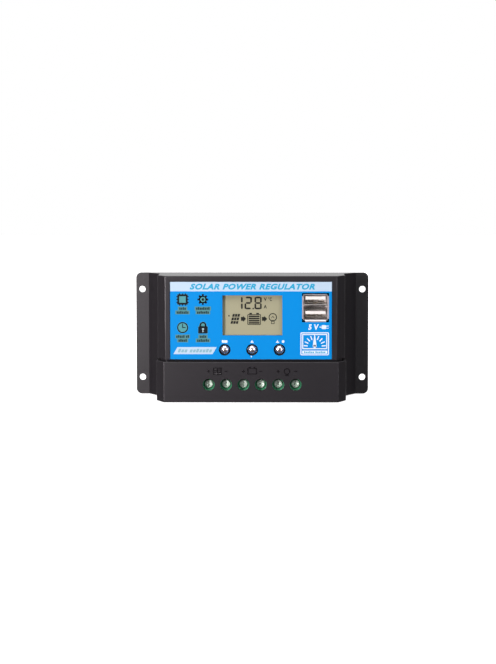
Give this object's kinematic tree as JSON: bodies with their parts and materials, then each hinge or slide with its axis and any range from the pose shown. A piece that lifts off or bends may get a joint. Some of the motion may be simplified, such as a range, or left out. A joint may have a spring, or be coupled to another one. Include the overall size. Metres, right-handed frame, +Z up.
{
  "type": "solar charge controller",
  "caption": "Wall-mounted solar charge controller: black case on a flanged plate, with display, push buttons, double charging socket and screw terminals.",
  "frame": {"origin": "centre of the four wall holes, on the back face that lies against the wall", "axes": "+X to the right as read from the front, +Y into the wall, +Z up; the front faces -Y"},
  "size_m": [0.1334, 0.0353, 0.07],
  "materials": {
    "black_abs": "satin",
    "black_aluminium": "black anodised, satin",
    "polyester_sheet": "satin",
    "silicone_pad": "matte",
    "chip_epoxy": "matte",
    "brass": "turned",
    "zinc_steel": "zinc plated",
    "circuit_board": "solder mask",
    "printed_label": "satin printed polycarbonate",
    "display_glass": "polished",
    "display_film": "anti-glare film",
    "white_plastic": "moulded",
    "tinned_metal": "tinned",
    "nickel_steel": "nickel plated",
    "gold_contact": "gold flash",
    "ferrite": "sintered",
    "capacitor_sleeve": "shrink sleeve",
    "copper_alloy": "rolled",
    "header_plastic": "moulded",
    "green_plastic": "moulded",
    "chrome_cap": "bright plated",
    "switch_plastic": "moulded",
    "plunger_plastic": "moulded"
  },
  "bodies": {
    "root": {"base_plate": "black_aluminium", "insulating_sheet": "polyester_sheet", "thermal_pads": "silicone_pad", "mosfets": "chip_epoxy", "board_spacers": "brass", "board_screws": "zinc_steel", "main_board": "circuit_board", "case_screws": "zinc_steel", "front_shell": "black_abs", "terminal_cover": "black_abs", "front_label": "printed_label", "lcd_glass": "display_glass", "lcd_polariser": "display_film", "lcd_backlight": "white_plastic", "lcd_pins": "tinned_metal", "display_board": "circuit_board", "display_board_screws": "zinc_steel", "switch_domes": "tinned_metal", "usb_shell": "nickel_steel", "usb_divider": "nickel_steel", "usb_insulator": "white_plastic", "usb_contacts": "gold_contact", "usb_board": "circuit_board", "usb_board_pins": "tinned_metal", "usb_inductor": "ferrite", "input_capacitors": "capacitor_sleeve", "controller_chip": "chip_epoxy", "driver_chips": "chip_epoxy", "current_shunt": "copper_alloy", "blocking_diode": "chip_epoxy", "temperature_sensor": "chip_epoxy", "board_header": "header_plastic", "terminal_block_solar": "green_plastic", "terminal_block_battery": "green_plastic", "terminal_block_load": "green_plastic", "terminal_contacts": "tinned_metal", "switch_left": "switch_plastic", "switch_middle": "switch_plastic", "switch_right": "switch_plastic"},
    "button_left_body": {"button_left": "chrome_cap", "plunger_left": "plunger_plastic"},
    "button_middle_body": {"button_middle": "chrome_cap", "plunger_middle": "plunger_plastic"},
    "button_right_body": {"button_right": "chrome_cap", "plunger_right": "plunger_plastic"},
    "screw_1": {"terminal_screw_1": "zinc_steel"},
    "cage_1": {"clamp_cage_1": "nickel_steel"},
    "screw_2": {"terminal_screw_2": "zinc_steel"},
    "cage_2": {"clamp_cage_2": "nickel_steel"},
    "screw_3": {"terminal_screw_3": "zinc_steel"},
    "cage_3": {"clamp_cage_3": "nickel_steel"},
    "screw_4": {"terminal_screw_4": "zinc_steel"},
    "cage_4": {"clamp_cage_4": "nickel_steel"},
    "screw_5": {"terminal_screw_5": "zinc_steel"},
    "cage_5": {"clamp_cage_5": "nickel_steel"},
    "screw_6": {"terminal_screw_6": "zinc_steel"},
    "cage_6": {"clamp_cage_6": "nickel_steel"}
  },
  "joints": [
    {"name": "press_left", "type": "slide", "parent": "root", "child": "button_left_body", "axis": [0, 1, 0], "range_m": [0, 0.0006], "stiffness_N_per_m": 1500, "springref_m": -0.0004},
    {"name": "press_middle", "type": "slide", "parent": "root", "child": "button_middle_body", "axis": [0, 1, 0], "range_m": [0, 0.0006], "stiffness_N_per_m": 1500, "springref_m": -0.0004},
    {"name": "press_right", "type": "slide", "parent": "root", "child": "button_right_body", "axis": [0, 1, 0], "range_m": [0, 0.0006], "stiffness_N_per_m": 1500, "springref_m": -0.0004},
    {"name": "screw_turn_1", "type": "hinge", "parent": "root", "child": "screw_1", "pos_m": [-0.02345, -0.02845, -0.0252], "axis": [0, 1, 0], "range_deg": [0, 2520]},
    {"name": "cage_lift_1", "type": "slide", "parent": "root", "child": "cage_1", "axis": [0, -1, 0], "range_m": [0, 0.0042]},
    {"name": "screw_turn_2", "type": "hinge", "parent": "root", "child": "screw_2", "pos_m": [-0.01385, -0.02845, -0.0252], "axis": [0, 1, 0], "range_deg": [0, 2520]},
    {"name": "cage_lift_2", "type": "slide", "parent": "root", "child": "cage_2", "axis": [0, -1, 0], "range_m": [0, 0.0042]},
    {"name": "screw_turn_3", "type": "hinge", "parent": "root", "child": "screw_3", "pos_m": [-0.00425, -0.02845, -0.0252], "axis": [0, 1, 0], "range_deg": [0, 2520]},
    {"name": "cage_lift_3", "type": "slide", "parent": "root", "child": "cage_3", "axis": [0, -1, 0], "range_m": [0, 0.0042]},
    {"name": "screw_turn_4", "type": "hinge", "parent": "root", "child": "screw_4", "pos_m": [0.00535, -0.02845, -0.0252], "axis": [0, 1, 0], "range_deg": [0, 2520]},
    {"name": "cage_lift_4", "type": "slide", "parent": "root", "child": "cage_4", "axis": [0, -1, 0], "range_m": [0, 0.0042]},
    {"name": "screw_turn_5", "type": "hinge", "parent": "root", "child": "screw_5", "pos_m": [0.01495, -0.02845, -0.0252], "axis": [0, 1, 0], "range_deg": [0, 2520]},
    {"name": "cage_lift_5", "type": "slide", "parent": "root", "child": "cage_5", "axis": [0, -1, 0], "range_m": [0, 0.0042]},
    {"name": "screw_turn_6", "type": "hinge", "parent": "root", "child": "screw_6", "pos_m": [0.02455, -0.02845, -0.0252], "axis": [0, 1, 0], "range_deg": [0, 2520]},
    {"name": "cage_lift_6", "type": "slide", "parent": "root", "child": "cage_6", "axis": [0, -1, 0], "range_m": [0, 0.0042]}
  ],
  "couplings": [
    {"joint": "screw_turn_1", "follows": "cage_lift_1", "rad_per_m": 10472},
    {"joint": "screw_turn_2", "follows": "cage_lift_2", "rad_per_m": 10472},
    {"joint": "screw_turn_3", "follows": "cage_lift_3", "rad_per_m": 10472},
    {"joint": "screw_turn_4", "follows": "cage_lift_4", "rad_per_m": 10472},
    {"joint": "screw_turn_5", "follows": "cage_lift_5", "rad_per_m": 10472},
    {"joint": "screw_turn_6", "follows": "cage_lift_6", "rad_per_m": 10472}
  ]
}
